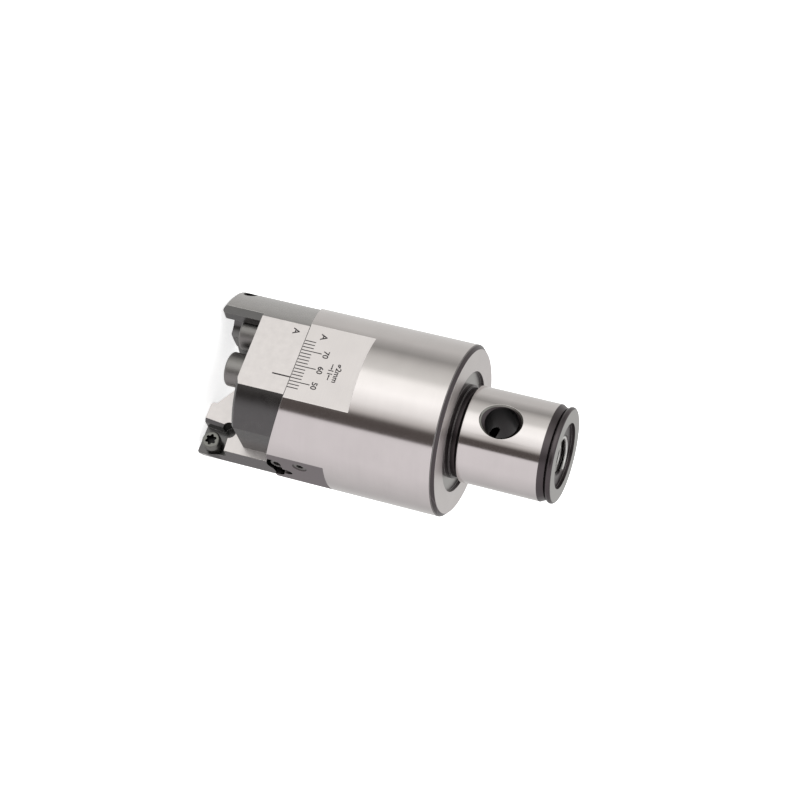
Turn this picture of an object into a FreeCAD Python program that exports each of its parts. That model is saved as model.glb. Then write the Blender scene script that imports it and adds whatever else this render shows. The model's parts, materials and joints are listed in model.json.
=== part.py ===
"""Twin-cutter rough boring head, 52 to 70 mm, on a 28 mm modular spigot.

Frame: millimetres, +Z along the tool axis towards the machine spindle, origin at the centre of the
rear gauge face, where the spigot leaves the body.  +X is the way cartridge B slides outwards.
Cartridge A and everything that belongs to it is cartridge B's half turned 180 degrees about Z.
"""
import os
import math

import FreeCAD
import Part

V = FreeCAD.Vector
AXIS_X = V(1, 0, 0)
AXIS_Y = V(0, 1, 0)
AXIS_Z = V(0, 0, 1)

# Body
body_radius = 25.0
body_length = 46.3              # gauge face to the front edge of the scale flats
scale_flat_distance = 22.0      # tool axis to each scale flat
scale_flat_length = 19.6
side_flat_depth = 1.12          # adjusting sides below the body's outside
side_flat_length = 13.3
seat_angle = 15.0               # slope of each half of the roof-shaped cartridge seat
rear_chamfer = 1.2
recess_radius = 17.5            # relief in the gauge face round the spigot
recess_depth = 1.0

# Spigot
spigot_radius = 14.0
spigot_length = 29.9
spigot_ground_setback = 3.85    # end of the ground length from the spigot's end
neck_radius = 13.6
neck_length = 2.7
neck_groove_radius = 13.0
neck_groove_start = 0.3
spigot_lead_radius = 13.1
spigot_lead_setback = 2.1       # end of the lead from the spigot's end
groove_radius = 12.6
groove_width = 0.7
lip_radius = 13.85
lip_side = 0.2                  # how far the lip's rounded side falls to the groove
lip_crest = 0.5                 # groove to the widest place of the lip
lip_edge = 0.6                  # how far it falls to the end face
cross_hole_z = 12.9
cross_hole_radius = 4.75
cross_hole_chamfer = 0.5
draw_thread_radius = 5.1
draw_thread_length = 11.0
draw_thread_mouth = 0.8         # its countersink
counterbore_radius = 9.5
counterbore_depth = 1.0
coolant_bore_radius = 3.5
coolant_bore_depth = 55.0
coolant_outlet_radius = 1.4
coolant_outlet_angle = 40.0     # between the outlet and the tool axis
coolant_outlet_y = 2.85
coolant_outlet_z = -46.7

# Cartridges
cartridge_inset = 0.4           # cartridges below the body's outside
cartridge_block_length = 14.65  # ground flat, from its front edge back to the seam
seam_gap = 0.15
end_flat_distance = 20.9        # tool axis to the inner end of a cartridge at the smallest setting
outer_flat_depth = 1.7          # cartridges' outer flats below the body's outside
slide_clearance = 0.02          # each sliding face
slide_travel = 9.0
block_edge_chamfer = 0.8
nose_length = 13.7
nose_inner_distance = 9.5
nose_relief = 0.55              # outer nose face below the ground flat
nose_front_relief = 5.0         # slope of the nose end behind the insert seat
nose_corner_radius = 1.0
nose_rim_chamfer = 0.6
web_thickness = 6.1
web_front_setback = 1.7
web_foot = -8.2                 # where the web's ramp meets the block face
nose_flare_start = 6.7          # behind the nose end
nose_flare = 1.55

# Insert seat, for an 80 degree rhombic insert
insert_circle = 9.525
insert_point_angle = 80.0
insert_seat_depth = 4.2
insert_lead_angle = 4.5
insert_seat_clearance = 0.05
seat_centre_inset = 2.4         # from the outer flat
seat_centre_setback = 4.15      # behind the nose end
seat_corner_relief = 2.0
seat_relief_inset = 0.35        # drill centre along each wall, as a share of its radius
seat_wall_chamfer = 1.0

# Clamp screws, M6, and their washers
clamp_x = (-3.0, 9.0)
clamp_y = 12.0
clamp_thread_radius = 3.0
clamp_head_radius = 5.0
clamp_head_height = 6.0
clamp_head_edge = 0.7
clamp_socket_width = 5.0
clamp_socket_depth = 3.0
clamp_screw_length = 30.0
clamp_hole_depth = 17.0
clamp_slot_clearance = 0.3
clamp_head_clearance = 0.8
washer_radius = 5.5
washer_thickness = 1.2
washer_clearance = 0.3

# Adjusting screw and its nut lug
screw_y = 1.7
screw_depth = 2.8               # screw axis below the ridge of the seat
screw_thread_radius = 1.95
screw_running_clearance = 0.05
screw_inner_end = 1.9
collar_radius = 2.9
collar_width = 2.0
collar_end_clearance = 0.1
collar_radial_clearance = 0.2
screw_head_gap = 0.3            # floor of the notch to the head
screw_head_radius = 2.1
screw_head_length = 2.3
screw_hex_width = 2.5
screw_hex_depth = 1.6
lug_length = 4.2
lug_width = 6.0
lug_depth = 5.8                 # below the ridge of the seat
lug_inner_end = 2.0
lug_ridge_gap = 0.5
slot_wall = 1.0                 # between the lug's pocket and the collar's slot
lug_end_clearance = 0.2
notch_width = 9.6
notch_y = 1.2
notch_depth = 4.95              # below the ridge of the seat
notch_inner_end = 20.0
notch_corner_radius = 2.0

# Plug screw, M4, in each adjusting side
plug_y = -2.9
plug_z = -41.1
plug_radius = 2.0
plug_length = 5.0
plug_below_flat = 0.3
plug_hole_beyond = 1.0
plug_lead = 0.25
plug_hex_width = 2.0
plug_hex_depth = 2.0

# Insert screw, M4
insert_screw_radius = 2.0
insert_screw_head_radius = 2.7
insert_screw_head_height = 2.2
insert_screw_head_edge = 0.6
insert_screw_length = 8.6
insert_screw_lobe_radius = 0.45
insert_screw_lobe_circle = 1.25
insert_screw_recess_depth = 1.5

thread_clearance = 0.02

# Places worked out from the sizes above
side_flat_distance = body_radius - side_flat_depth
spigot_ground_end = spigot_length - spigot_ground_setback
spigot_lead_end = spigot_length - spigot_lead_setback
cartridge_radius = body_radius - cartridge_inset
outer_flat_distance = body_radius - outer_flat_depth
seat_centre_x = outer_flat_distance - seat_centre_inset
seat_tangent = math.tan(math.radians(seat_angle))
ridge_z = -(body_length + scale_flat_distance * seat_tangent)
block_front_z = -(body_length + seam_gap + cartridge_block_length)
nose_end_z = block_front_z - nose_length
screw_z = ridge_z + screw_depth
seat_centre_z = nose_end_z + seat_centre_setback
lug_outer_end = lug_inner_end + lug_length
lug_pocket_end = lug_outer_end + slide_travel + lug_end_clearance
collar_slot_start = lug_pocket_end + slot_wall
collar_slot_end = collar_slot_start + collar_width + 2 * collar_end_clearance
collar_start = collar_slot_start + collar_end_clearance
screw_head_start = notch_inner_end + screw_head_gap
screw_outer_end = screw_head_start + screw_head_length
washer_front_z = block_front_z - washer_thickness
clamp_slot_radius = clamp_thread_radius + clamp_slot_clearance
reach = 2 * body_radius         # longer than any cut has to be
cutter_overrun = 6.0            # how far a slanting drill stands out of its mouth
overlap = 0.01                  # between pieces that are joined


def box(x0, x1, y0, y1, z0, z1):
    """A box between two corners."""
    return Part.makeBox(x1 - x0, y1 - y0, z1 - z0, V(x0, y0, z0))


def rod(radius, start, end):
    """A cylinder from one point to another."""
    along = end.sub(start)
    return Part.makeCylinder(radius, along.Length, start, along)


def prism(points, sweep):
    """A straight-sided solid: a closed outline of points moved along a vector."""
    outline = Part.makePolygon(points + [points[0]])
    return Part.Face(outline).extrude(sweep)


def hexagon(width, centre, sweep):
    """A hexagonal prism, width across flats, standing on its centre along a vector."""
    across = V(0, 0, 1) if abs(sweep.z) < 0.5 * sweep.Length else V(1, 0, 0)
    side = across.cross(sweep).normalize()
    corner = width / math.sqrt(3.0)
    turns = [math.radians(60.0 * i) for i in range(6)]
    points = [centre.add(across * (corner * math.cos(t))).add(side * (corner * math.sin(t))) for t in turns]
    return prism(points, sweep)


def turned(shape):
    """The same shape for cartridge A's half."""
    copy = shape.copy()
    copy.rotate(V(0, 0, 0), AXIS_Z, 180)
    return copy


def both_halves(shapes):
    """Shapes of cartridge B's half and their turned copies."""
    return shapes + [turned(shape) for shape in shapes]


def seat_z(y):
    """Height of the roof-shaped seat at a distance from its ridge."""
    return ridge_z + abs(y) * seat_tangent


def revolved_body():
    """The turned blank: body, relief, neck, spigot, rounded groove and lip.

    The spigot is ground in two lengths that meet at the cross hole's centre.
    """
    taper_end = V(spigot_lead_radius, 0, spigot_lead_end)
    groove_bottom = V(groove_radius, 0, taper_end.z + 0.5 * groove_width)
    groove_end = V(lip_radius - lip_side, 0, taper_end.z + groove_width)
    crest = V(lip_radius, 0, groove_end.z + lip_crest)
    face_edge = V(lip_radius - lip_edge, 0, spigot_length)
    straight = [
        V(0, 0, ridge_z),
        V(body_radius, 0, ridge_z),
        V(body_radius, 0, -rear_chamfer),
        V(body_radius - rear_chamfer, 0, 0),
        V(recess_radius, 0, 0),
        V(recess_radius, 0, -recess_depth),
        V(neck_radius, 0, -recess_depth),
        V(neck_radius, 0, neck_groove_start),
        V(neck_groove_radius, 0, neck_groove_start),
        V(neck_groove_radius, 0, neck_length - (spigot_radius - neck_groove_radius)),
        V(spigot_radius, 0, neck_length),
        V(spigot_radius, 0, cross_hole_z),
        V(spigot_radius, 0, spigot_ground_end),
        taper_end,
    ]
    edges = [Part.LineSegment(p, q).toShape() for p, q in zip(straight, straight[1:])]
    edges.append(Part.Arc(taper_end, groove_bottom, groove_end).toShape())
    edges.append(Part.Arc(groove_end, crest, face_edge).toShape())
    edges.append(Part.LineSegment(face_edge, V(0, 0, spigot_length)).toShape())
    edges.append(Part.LineSegment(V(0, 0, spigot_length), straight[0]).toShape())
    face = Part.Face(Part.Wire(edges))
    return face.revolve(V(0, 0, 0), AXIS_Z, 360)


def roof_cut():
    """Everything in front of the roof-shaped seat."""
    half = body_radius + 1.0
    below = ridge_z - 1.0
    points = [
        V(-reach, -half, below),
        V(-reach, -half, seat_z(half)),
        V(-reach, 0, ridge_z),
        V(-reach, half, seat_z(half)),
        V(-reach, half, below),
    ]
    return prism(points, V(2 * reach, 0, 0))


def scale_flat_cut():
    """One scale flat, milled square to its rear end."""
    rear = -body_length + scale_flat_length
    return box(-reach, reach, scale_flat_distance, body_radius + 1, ridge_z - 1, rear)


def side_flat_cut():
    """One adjusting side, milled square to its rear end."""
    rear = -body_length + side_flat_length
    return box(side_flat_distance, body_radius + 1, -reach, reach, ridge_z - 1, rear)


def spigot_cuts():
    """Cross hole, draw thread, its counterbore and the coolant bore behind it."""
    top = spigot_length
    floor = top - counterbore_depth
    thread_end = floor - draw_thread_length
    span = spigot_radius + 1
    wide = cross_hole_radius + cross_hole_chamfer
    mouth_radius = draw_thread_radius + draw_thread_mouth
    mouth_floor = V(0, 0, floor - draw_thread_mouth)
    countersink = Part.makeCone(draw_thread_radius, mouth_radius, draw_thread_mouth, mouth_floor, AXIS_Z)
    cuts = [
        rod(counterbore_radius, V(0, 0, floor), V(0, 0, top + 1)),
        rod(draw_thread_radius, V(0, 0, thread_end), V(0, 0, top)),
        rod(coolant_bore_radius, V(0, 0, top - coolant_bore_depth), V(0, 0, top)),
        countersink,
    ]
    mouth = math.sqrt(spigot_radius ** 2 - wide ** 2)
    deep = mouth - cross_hole_chamfer
    flare = 2 * (span - deep)
    cone = Part.makeCone(cross_hole_radius, cross_hole_radius + flare, flare, V(0, deep, cross_hole_z), AXIS_Y)
    drilled = rod(cross_hole_radius, V(0, 0, cross_hole_z), V(0, span, cross_hole_z))
    return cuts + both_halves([drilled, cone])


def clamp_holes():
    """Tapped holes for one cartridge's clamp screws."""
    radius = clamp_thread_radius + thread_clearance
    bottom = seat_z(clamp_y) + clamp_hole_depth
    return [rod(radius, V(x, clamp_y, ridge_z - 1), V(x, clamp_y, bottom)) for x in clamp_x]


def adjusting_cuts():
    """Lug pocket, screw channel, collar slot and the notch where a key reaches the screw."""
    low = ridge_z - 1
    half = 0.5 * lug_width + slide_clearance
    pocket_floor = ridge_z + lug_depth + lug_end_clearance
    channel = screw_thread_radius + screw_running_clearance
    collar = collar_radius + collar_radial_clearance
    pocket = box(lug_inner_end - lug_end_clearance, lug_pocket_end, screw_y - half, screw_y + half, low, pocket_floor)
    cuts = [pocket]
    for radius, x0, x1 in (
        (channel, lug_pocket_end - 1, notch_inner_end + 1),
        (collar, collar_slot_start, collar_slot_end),
    ):
        cuts.append(rod(radius, V(x0, screw_y, screw_z), V(x1, screw_y, screw_z)))
        cuts.append(box(x0, x1, screw_y - radius, screw_y + radius, low, screw_z))
    return cuts + [notch()]


def notch():
    """The round-cornered pocket where a key reaches the adjusting screw."""
    side = 0.5 * notch_width
    rear = ridge_z + notch_depth
    pocket = box(notch_inner_end, reach, notch_y - side, notch_y + side, ridge_z - 1, rear)
    corners = [edge for edge in pocket.Edges if edge.BoundBox.XLength > 1 and edge.BoundBox.ZMin > rear - 0.01]
    return pocket.makeFillet(notch_corner_radius, corners)


def coolant_outlet():
    """The slanting coolant hole from the central bore to the adjusting side."""
    angle = math.radians(coolant_outlet_angle)
    out = V(math.sin(angle), 0, -math.cos(angle))
    mouth = V(side_flat_distance, coolant_outlet_y, coolant_outlet_z)
    inner_run = side_flat_distance / math.sin(angle)
    return rod(coolant_outlet_radius, mouth.sub(out * inner_run), mouth.add(out * cutter_overrun))


def plug_hole():
    """Tapped hole for the plug screw in one adjusting side."""
    bottom = side_flat_distance - plug_below_flat - plug_length - plug_hole_beyond
    hole = rod(plug_radius + thread_clearance, V(bottom, plug_y, plug_z), V(reach, plug_y, plug_z))
    mouth = V(side_flat_distance - plug_lead, plug_y, plug_z)
    lead = Part.makeCone(plug_radius, plug_radius + 2 * plug_lead, 2 * plug_lead, mouth, AXIS_X)
    return hole.fuse(lead)


def head_body():
    """The body and spigot in one piece."""
    halves = both_halves([scale_flat_cut(), side_flat_cut(), coolant_outlet(), plug_hole()] + clamp_holes())
    halves = halves + both_halves(adjusting_cuts())
    return revolved_body().cut([roof_cut()] + spigot_cuts() + halves)


def cartridge_outline():
    """The block and nose as one length of cut-down bar, before the nose is milled."""
    bar = rod(cartridge_radius, V(0, 0, nose_end_z), V(0, 0, 0))
    keep = box(-end_flat_distance, reach, slide_clearance, scale_flat_distance, nose_end_z, 0)
    flare_z = nose_end_z + nose_flare_start
    flat = [
        V(outer_flat_distance, -1, 1),
        V(outer_flat_distance, -1, flare_z),
        V(outer_flat_distance + nose_flare, -1, nose_end_z - 0.01),
        V(reach, -1, nose_end_z - 0.01),
        V(reach, -1, 1),
    ]
    gap = slide_clearance / math.cos(math.radians(seat_angle))
    rear = [
        V(-reach, -1, ridge_z - gap - seat_tangent),
        V(-reach, body_radius, seat_z(body_radius) - gap),
        V(-reach, body_radius, 1),
        V(-reach, -1, 1),
    ]
    seam = box(-reach, reach, 0, reach, -body_length - seam_gap, 1)
    return bar.common(keep).cut([prism(flat, V(0, body_radius, 0)), prism(rear, V(2 * reach, 0, 0)), seam])


def nose_cuts():
    """What is milled away in front of the block to leave the nose and its web."""
    ahead = nose_end_z - 1
    beside = [
        V(-reach, web_thickness, ahead),
        V(-reach, web_thickness, block_front_z),
        V(nose_inner_distance, web_thickness, block_front_z),
        V(nose_inner_distance, web_thickness, ahead),
    ]
    over_web = [
        V(-reach, -1, ahead),
        V(-reach, -1, block_front_z),
        V(web_foot, -1, block_front_z),
        V(nose_inner_distance, -1, nose_end_z + web_front_setback),
        V(nose_inner_distance, -1, ahead),
    ]
    outer = scale_flat_distance - nose_relief
    sloped = reach * math.tan(math.radians(nose_front_relief))
    front = [
        V(-reach, insert_seat_depth, nose_end_z),
        V(-reach, insert_seat_depth + reach, nose_end_z + sloped),
        V(-reach, insert_seat_depth + reach, ahead),
        V(-reach, insert_seat_depth, ahead),
    ]
    return [
        prism(beside, V(0, reach, 0)),
        prism(over_web, V(0, reach, 0)),
        prism(front, V(2 * reach, 0, 0)),
        box(nose_inner_distance, reach, outer, reach, ahead, block_front_z),
        head_clearance(),
    ]


def head_clearance():
    """The scallop in the nose round the outer clamp screw's head."""
    radius = clamp_head_radius + clamp_head_clearance
    return rod(radius, V(clamp_x[1], clamp_y, nose_end_z - 1), V(clamp_x[1], clamp_y, block_front_z))


def clamp_slot():
    """The slot that lets the cartridge slide past its two clamp screws."""
    start = clamp_x[0] - slide_travel
    low = nose_end_z
    slot = box(start, clamp_x[1], clamp_y - clamp_slot_radius, clamp_y + clamp_slot_radius, low, 0)
    ends = [rod(clamp_slot_radius, V(x, clamp_y, low), V(x, clamp_y, 0)) for x in (start, clamp_x[1])]
    return [slot] + ends


def seat_line(distance, angle):
    """A point on a seat wall nearest the seat centre, and the wall's direction, in X and Z."""
    normal = V(math.cos(angle), 0, math.sin(angle))
    centre = V(seat_centre_x, 0, seat_centre_z)
    return centre.add(normal * distance), V(-normal.z, 0, normal.x)


def meeting_point(line_one, line_two):
    """Where two lines in the XZ plane cross."""
    (p, d), (q, e) = line_one, line_two
    span = q.sub(p)
    share = (span.x * e.z - span.z * e.x) / (d.x * e.z - d.z * e.x)
    return p.add(d * share)


def seat_walls(distance):
    """The side wall and the rear wall of the seat, at a distance from its centre."""
    side_angle = math.radians(180.0 - (90.0 - insert_point_angle - insert_lead_angle))
    rear_angle = math.radians(90.0 + insert_lead_angle)
    return seat_line(distance, side_angle), seat_line(distance, rear_angle)


def insert_seat():
    """The pocket for the insert, with its corner relief and chamfered side wall."""
    side, rear = seat_walls(0.5 * insert_circle + insert_seat_clearance)
    corner = meeting_point(side, rear)
    down = V(0, insert_seat_depth + 1, 0)
    along_side = side[1] if side[1].z < 0 else side[1] * -1.0
    along_rear = rear[1] if rear[1].x > 0 else rear[1] * -1.0
    far_side = corner.add(along_side * reach)
    far_rear = corner.add(along_rear * reach)
    floor = [V(p.x, -1, p.z) for p in (corner, far_rear, far_rear.add(along_side * reach), far_side)]
    cuts = [prism(floor, down)]
    inner = seat_corner_relief * seat_relief_inset
    for centre in (corner.add(along_side * inner), corner.add(along_rear * inner)):
        cuts.append(rod(seat_corner_relief, V(centre.x, -1, centre.z), V(centre.x, insert_seat_depth, centre.z)))
    cuts.append(side_wall_chamfer(corner, far_side, along_rear))
    return cuts


def side_wall_chamfer(corner, far, across):
    """The chamfer along the top of the seat's side wall."""
    top = V(corner.x, -overlap, corner.z)
    bottom = V(corner.x, seat_wall_chamfer, corner.z)
    inside = across * (0.5 * seat_wall_chamfer)
    points = [top.sub(across * seat_wall_chamfer), top.add(inside), bottom.add(inside), bottom]
    return prism(points, far.sub(corner))


def insert_screw_hole():
    """The tapped hole under the seat, right through the nose."""
    radius = insert_screw_radius + thread_clearance
    return rod(radius, V(seat_centre_x, 0, seat_centre_z), V(seat_centre_x, reach, seat_centre_z))


def nut_lug():
    """The lug that hangs from the cartridge into the body and carries the adjusting thread."""
    half = 0.5 * lug_width
    low = screw_y - half
    high = screw_y + half
    under_ridge = ridge_z + lug_ridge_gap
    deep = ridge_z + lug_depth
    lug = box(lug_inner_end, lug_outer_end, low, high, under_ridge, deep)
    root = box(lug_inner_end, lug_outer_end, slide_clearance, high, ridge_z - lug_ridge_gap, under_ridge + overlap)
    return lug.fuse(root)


def cartridge():
    """One cartridge: block, nose, web, insert seat, slot, nut lug and groove over the collar."""
    body = cartridge_outline().cut(nose_cuts() + clamp_slot() + insert_seat() + [insert_screw_hole()])
    around_collar = collar_radius + collar_radial_clearance
    groove_start = V(collar_slot_start - slide_travel - lug_end_clearance, screw_y, screw_z)
    body = body.cut(rod(around_collar, groove_start, V(reach, screw_y, screw_z)))
    body = round_nose(chamfer_nose(chamfer_block(body))).fuse(nut_lug())
    thread = screw_thread_radius + screw_running_clearance
    body = body.cut(rod(thread, V(0, screw_y, screw_z), V(groove_start.x, screw_y, screw_z)))
    return body.removeSplitter()


def chamfer_block(body):
    """Break the block's front edge round its inner end."""
    front = []
    for edge in body.Edges:
        around = edge.BoundBox
        on_front = abs(around.ZMin - block_front_z) < 1e-4 and abs(around.ZMax - block_front_z) < 1e-4
        if on_front and around.XMin < 1 - end_flat_distance and around.YMax > web_thickness:
            front.append(edge)
    return body.makeChamfer(block_edge_chamfer, front)


def chamfer_nose(body):
    """Break the outer rim of the nose's sloped end."""
    rim = []
    for edge in body.Edges:
        around = edge.BoundBox
        behind_seat = around.YMin > insert_seat_depth - 0.01 and around.YLength > insert_seat_depth
        on_end = around.ZMax < nose_end_z + 0.5 * nose_length and around.ZLength < 0.25 * nose_length
        if behind_seat and on_end and around.XMin > nose_inner_distance + 1:
            rim.append(edge)
    return body.makeChamfer(nose_rim_chamfer, rim)


def round_nose(body):
    """Round the corner between the nose's end and its inner side."""
    corners = []
    for edge in body.Edges:
        around = edge.BoundBox
        on_side = abs(around.XMin - nose_inner_distance) < 1e-4 and abs(around.XMax - nose_inner_distance) < 1e-4
        across = around.YLength > 2 * around.ZLength
        if on_side and across and around.ZMax < nose_end_z + web_front_setback - 0.01:
            corners.append(edge)
    return body.makeFillet(nose_corner_radius, corners)


def clamp_screw(x):
    """A socket-head clamp screw standing on its washer."""
    under_head = washer_front_z
    head_top = under_head - clamp_head_height
    head = rod(clamp_head_radius, V(x, clamp_y, head_top), V(x, clamp_y, under_head))
    rim = [edge for edge in head.Edges if abs(edge.BoundBox.ZMax - head_top) < 1e-6]
    head = head.makeFillet(clamp_head_edge, rim)
    shank = rod(clamp_thread_radius, V(x, clamp_y, under_head), V(x, clamp_y, under_head + clamp_screw_length))
    socket = hexagon(clamp_socket_width, V(x, clamp_y, head_top), V(0, 0, clamp_socket_depth))
    return head.fuse(shank).cut(socket)


def clamp_washer(x):
    """A thick hardened washer between the screw head and the cartridge."""
    back = block_front_z - slide_clearance
    ring = rod(washer_radius, V(x, clamp_y, washer_front_z), V(x, clamp_y, back))
    hole = rod(clamp_thread_radius + washer_clearance, V(x, clamp_y, washer_front_z - 1), V(x, clamp_y, back + 1))
    return ring.cut(hole)


def adjusting_screw():
    """The captive screw that moves the cartridge: thread, collar and head."""
    def along(radius, x0, x1):
        return rod(radius, V(x0, screw_y, screw_z), V(x1, screw_y, screw_z))

    screw = along(screw_thread_radius, screw_inner_end, screw_outer_end)
    screw = screw.fuse(along(collar_radius, collar_start, collar_start + collar_width))
    screw = screw.fuse(along(screw_head_radius, screw_head_start, screw_outer_end))
    socket = hexagon(screw_hex_width, V(screw_outer_end, screw_y, screw_z), V(-screw_hex_depth, 0, 0))
    return screw.cut(socket)


def plug_screw():
    """The flush screw in the adjusting side."""
    outer = side_flat_distance - plug_below_flat
    screw = rod(plug_radius, V(outer - plug_length, plug_y, plug_z), V(outer, plug_y, plug_z))
    socket = hexagon(plug_hex_width, V(outer, plug_y, plug_z), V(-plug_hex_depth, 0, 0))
    return screw.cut(socket)


def insert_screw():
    """The star-drive screw left in the empty insert seat."""
    centre = V(seat_centre_x, 0, seat_centre_z)
    head = rod(insert_screw_head_radius, centre, centre.add(V(0, insert_screw_head_height, 0)))
    rim = [edge for edge in head.Edges if abs(edge.BoundBox.YMax) < 1e-6]
    head = head.makeFillet(insert_screw_head_edge, rim)
    shank = rod(insert_screw_radius, centre.add(V(0, 1, 0)), centre.add(V(0, insert_screw_length, 0)))
    recess = [rod(insert_screw_lobe_circle, centre.sub(V(0, 1, 0)), centre.add(V(0, insert_screw_recess_depth, 0)))]
    for i in range(6):
        turn = math.radians(60.0 * i)
        offset = V(insert_screw_lobe_circle * math.cos(turn), 0, insert_screw_lobe_circle * math.sin(turn))
        lobe = centre.add(offset)
        start = lobe.sub(V(0, 1, 0))
        recess.append(rod(insert_screw_lobe_radius, start, lobe.add(V(0, insert_screw_recess_depth, 0))))
    return head.fuse(shank).cut(recess)


def save(name, shape):
    """Write one piece as parts/NAME.step."""
    state = "valid" if shape.isValid() else "NOT VALID"
    print(name, len(shape.Solids), "solid", round(shape.Volume, 1), "mm3", state)
    shape.exportStep(os.path.join("parts", name + ".step"))


def main():
    os.makedirs("parts", exist_ok=True)
    save("head_body", head_body())
    pairs = {
        "cartridge": cartridge(),
        "clamp_screw_inner": clamp_screw(clamp_x[0]),
        "clamp_screw_outer": clamp_screw(clamp_x[1]),
        "clamp_washer_inner": clamp_washer(clamp_x[0]),
        "clamp_washer_outer": clamp_washer(clamp_x[1]),
        "adjusting_screw": adjusting_screw(),
        "plug_screw": plug_screw(),
        "insert_screw": insert_screw(),
    }
    for name, shape in pairs.items():
        save(name + "_a", turned(shape))
        save(name + "_b", shape)


main()
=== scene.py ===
"""Twin-cutter rough boring head: finishes, scale markings, threads and studio."""

import json
import math

import bpy
from bpy.props import FloatProperty, FloatVectorProperty, IntProperty, PointerProperty
from mathutils import Matrix, Vector


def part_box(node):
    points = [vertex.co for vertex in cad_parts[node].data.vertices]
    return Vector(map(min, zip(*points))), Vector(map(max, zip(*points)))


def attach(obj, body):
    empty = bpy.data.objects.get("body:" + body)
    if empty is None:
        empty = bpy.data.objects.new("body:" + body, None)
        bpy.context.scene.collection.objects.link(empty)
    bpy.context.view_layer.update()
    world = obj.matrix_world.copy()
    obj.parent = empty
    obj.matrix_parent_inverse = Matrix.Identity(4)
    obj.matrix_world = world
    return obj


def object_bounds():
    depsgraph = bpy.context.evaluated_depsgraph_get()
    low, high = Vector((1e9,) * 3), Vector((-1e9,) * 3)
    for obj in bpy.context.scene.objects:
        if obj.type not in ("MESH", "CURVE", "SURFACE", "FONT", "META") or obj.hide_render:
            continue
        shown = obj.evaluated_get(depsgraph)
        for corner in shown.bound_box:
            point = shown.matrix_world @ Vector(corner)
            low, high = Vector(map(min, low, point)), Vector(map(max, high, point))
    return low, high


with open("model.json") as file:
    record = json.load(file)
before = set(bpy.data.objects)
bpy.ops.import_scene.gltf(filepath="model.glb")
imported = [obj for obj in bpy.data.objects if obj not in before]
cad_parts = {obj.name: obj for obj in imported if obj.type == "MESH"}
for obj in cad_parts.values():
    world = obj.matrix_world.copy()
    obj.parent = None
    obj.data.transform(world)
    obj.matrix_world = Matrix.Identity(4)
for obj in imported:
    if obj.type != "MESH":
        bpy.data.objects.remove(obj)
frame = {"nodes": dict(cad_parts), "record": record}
cad_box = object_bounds()

bl_info = {
    "name": "Boring head",
    "version": (1, 0, 0),
    "blender": (4, 5, 0),
    "location": "View3D > Sidebar > Boring head",
    "description": "Finishes a twin-cutter rough boring head and sets it in a studio",
    "category": "Object",
}

MM = 0.001
HALVES = {"a": 0.0, "b": math.pi}
FACE_MARGIN = 0.045             # millimetres either side of a body face that still belong to it
CARTRIDGE_MARGIN = 0.06         # the same for the cartridges
FLAT_MARGIN = 0.03              # and for their scale flats


# Lengths and colours ------------------------------------------------------------------------------


def length(name, description, millimetres):
    """A length property whose default is given in millimetres."""
    return FloatProperty(name=name, description=description, default=millimetres * MM, unit="LENGTH",
                         precision=5)


def linear(hex_colour):
    """Turns an sRGB hex value into linear red, green, blue and alpha."""
    channels = [int(hex_colour[i:i + 2], 16) / 255 for i in (0, 2, 4)]
    return [c / 12.92 if c <= 0.04045 else ((c + 0.055) / 1.055) ** 2.4 for c in channels] + [1.0]


def colour(name, description, hex_colour):
    """A colour property whose default is given as an sRGB hex value."""
    return FloatVectorProperty(name=name, description=description, default=linear(hex_colour),
                               subtype="COLOR", size=4, min=0.0, max=1.0)


def mount(name):
    """One of the record's mounts, by name."""
    return next(m for m in frame["record"]["mounts"] if m["name"] == name)


class BodySizes(bpy.types.PropertyGroup):
    """Where the body's ground and blackened zones end."""

    radius: length("Body radius", "Ground outside of the body", 25.0)
    scale_flat: length("Scale flat", "Distance of the scale flats from the axis", 22.0)
    side_flat: length("Side flat", "Distance of the adjusting sides from the axis", 23.88)
    outer_flat: length("Outer flat", "Distance of the cartridges' outer flats from the axis", 23.3)
    scale_flat_end: length("Scale flat end", "Height at which the scale flats run out", -26.7)
    spigot_radius: FloatProperty(
        name="Spigot radius", description="Ground outside of the spigot", unit="LENGTH", precision=5,
        default=mount("spigot")["dims"]["r_mm"] * MM)
    recess_radius: length("Recess radius", "Relief round the spigot's root", 17.5)
    lead_height: length("Lead height", "Height at which the spigot's blackened lead starts", 26.0)
    chamfer_end: length("Chamfer end", "Height below which the body's outside is ground", -1.15)
    neck_end: length("Neck end", "Height above which the spigot is ground", 2.6)
    recess_floor: length("Recess floor", "Height of the relief's floor", -1.0)
    bore_radius: length("Bore radius", "Inside this radius the spigot's holes are dark", 12.5)
    bore_start: length("Bore start", "Height at which the dark holes start", 3.0)
    bore_end: length("Bore end", "Height at which the dark holes end", 28.7)
    hole_edge_depth: length("Hole edge depth", "Cross hole's chamfer, middle below the outside", 0.3)
    hole_edge_margin: length("Hole edge margin", "Half the depth of that chamfer", 0.26)
    hole_edge_reach: length("Hole edge reach", "How far it reaches from the hole's height", 6.0)
    star_radius: length("Star radius", "Reach of the insert screws' recess", 1.8)
    cartridge_front: length("Cartridge front", "Height of the ground flat's front edge", -61.5)
    cartridge_radius: length("Cartridge radius", "Turned outside of the cartridges", 24.6)


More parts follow.
